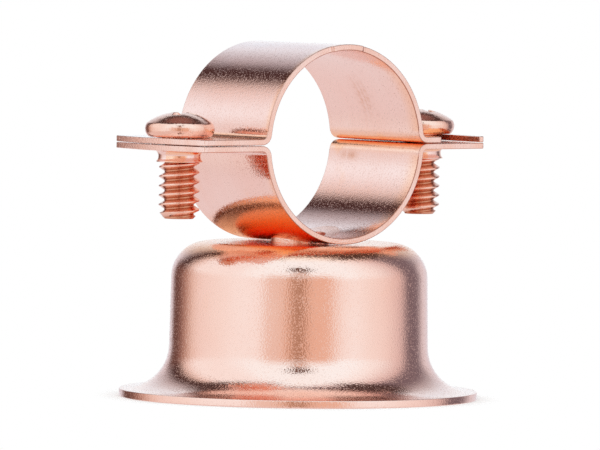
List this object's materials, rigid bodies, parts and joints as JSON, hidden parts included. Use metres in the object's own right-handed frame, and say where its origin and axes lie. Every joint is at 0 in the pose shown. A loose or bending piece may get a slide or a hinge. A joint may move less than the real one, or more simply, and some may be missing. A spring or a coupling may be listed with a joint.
{
  "type": "bell hanger",
  "caption": "Copper-plated bell hanger: a flared bell standoff that carries a split strap clamp, closed by machine screws, to hold a tube clear of a wall or ceiling.",
  "frame": {"origin": "centre of the bell's base, on the wall face", "axes": "+Z away from the wall along the bell's axis, Y along the tube, X along the clamp's ears; the front is -Y"},
  "size_m": [0.032, 0.0306, 0.0303],
  "materials": {
    "plated_sheet": "satin copper plate on sheet steel",
    "plated_screw": "copper plate on steel screw"
  },
  "bodies": {
    "base": {"bell": "plated_sheet"},
    "clamp": {"lower_strap": "plated_sheet", "eyelet": "plated_sheet"},
    "strap": {"upper_strap": "plated_sheet"},
    "pivot_screw": {"left_screw": "plated_screw"},
    "slot_screw": {"right_screw": "plated_screw"}
  },
  "joints": [
    {"name": "clamp_swivel", "type": "hinge", "parent": "base", "child": "clamp", "pos_m": [0, 0, 0.01325], "axis": [0, 0, 1], "continuous": true},
    {"name": "strap_swing", "type": "hinge", "parent": "clamp", "child": "strap", "pos_m": [-0.01305, 0, 0.0218], "axis": [0, 0, 1], "range_deg": [0, 180]},
    {"name": "left_screw_travel", "type": "slide", "parent": "clamp", "child": "pivot_screw", "axis": [0, 0, 1], "range_m": [0, 0.00397]},
    {"name": "right_screw_travel", "type": "slide", "parent": "clamp", "child": "slot_screw", "axis": [0, 0, 1], "range_m": [0, 0.00397]}
  ]
}
